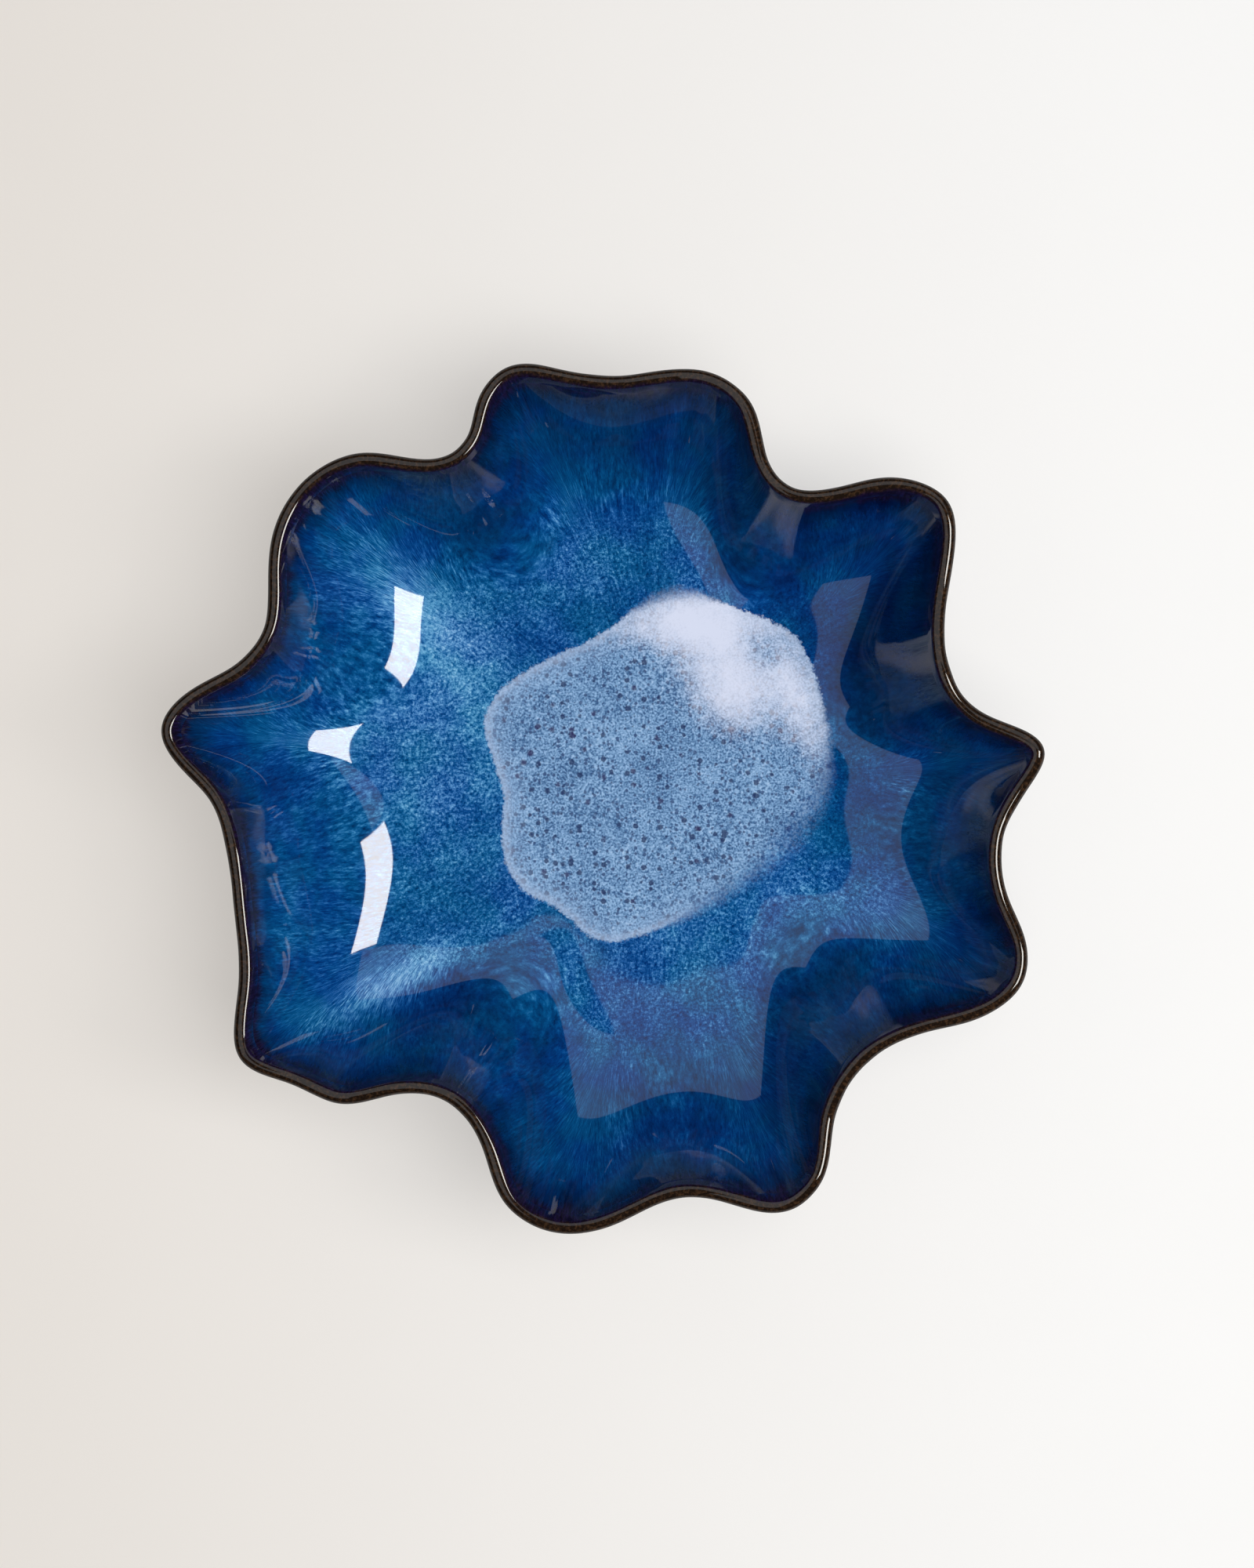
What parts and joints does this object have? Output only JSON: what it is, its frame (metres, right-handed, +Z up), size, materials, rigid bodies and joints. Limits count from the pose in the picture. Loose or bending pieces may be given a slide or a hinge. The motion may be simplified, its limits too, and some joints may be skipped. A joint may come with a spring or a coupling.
{
  "type": "ruffled stoneware bowl",
  "caption": "Wide free-form bowl with a ruffled, fluted wall, a brown glazed lip, reactive blue glaze and a pale pool in the well, on a turned foot ring.",
  "frame": {"origin": "middle of the rim's bounding box in plan, on the plane that the foot ring stands on", "axes": "+Z up; +X towards the right-hand pointed lobe; +Y towards the wide two-cornered lobe"},
  "size_m": [0.3216, 0.3165, 0.0691],
  "materials": {
    "bare_stoneware": "matte, fine grogged",
    "foot_stoneware": "matte, turned and wiped",
    "blue_glaze": "glossy, streaked",
    "outer_glaze": "glossy, mottled",
    "pale_glaze": "glossy, speckled",
    "brown_glaze": "glossy"
  },
  "bodies": {
    "root": {"stoneware_body": "bare_stoneware", "foot_ring": "foot_stoneware", "interior_glaze": "blue_glaze", "exterior_glaze": "outer_glaze", "well_glaze": "pale_glaze", "rim_glaze": "brown_glaze"}
  },
  "joints": []
}
